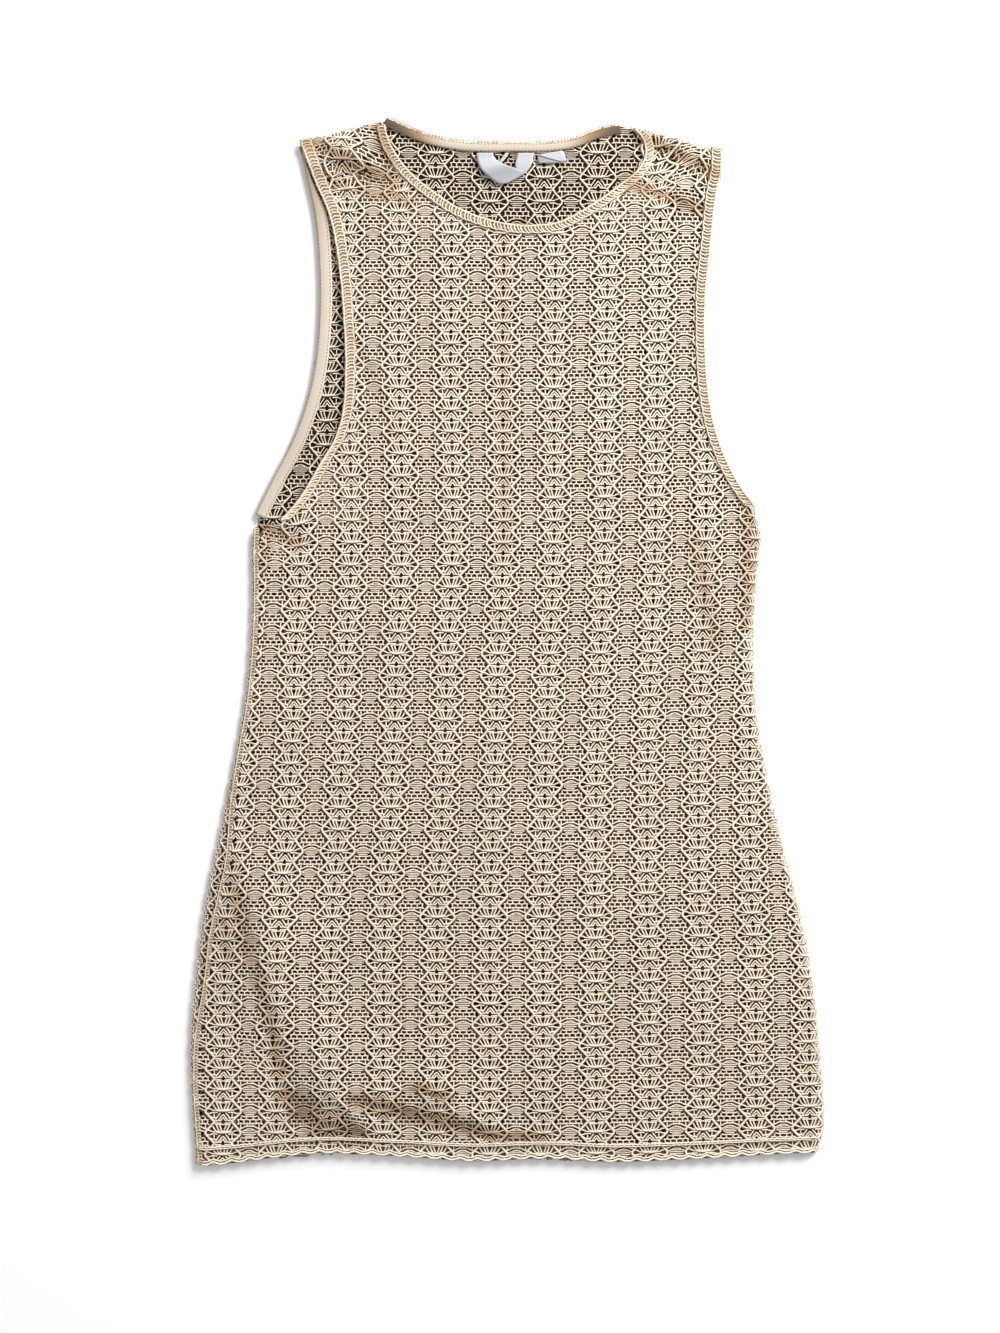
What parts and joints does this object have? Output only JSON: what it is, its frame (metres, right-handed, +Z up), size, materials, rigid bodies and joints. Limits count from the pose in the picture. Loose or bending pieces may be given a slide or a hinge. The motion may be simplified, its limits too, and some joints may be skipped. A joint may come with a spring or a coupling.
{
  "type": "crochet top",
  "caption": "Sleeveless tunic-length top in open fan-and-mesh crochet-look knit, laid flat front up, with a round neck, jersey tapes inside neck and armhole, and a turned hem.",
  "frame": {"origin": "middle of the top's own box in x and y, at the surface it lies on", "axes": "+Z up from the surface, +Y from the hem towards the neck, +X to the right as seen from above"},
  "size_m": [0.4572, 0.7546, 0.01],
  "materials": {
    "lace": "cream cotton-blend yarn in an open fan-and-mesh knit, matt with a soft nap, brown-shaded in its holes",
    "tape": "smooth plain jersey tape in a slightly pinker cream, with a row of fine stitches along each side",
    "label": "blank white satin ribbon"
  },
  "bodies": {
    "root": {"back_panel": "lace", "front_panel": "lace", "hem_front": "lace", "neck_edge_front": "lace", "armhole_edge_left": "lace", "armhole_edge_right": "lace", "neck_tape": "tape", "armhole_tape_left": "tape", "main_label": "label", "size_label": "label"}
  },
  "joints": []
}
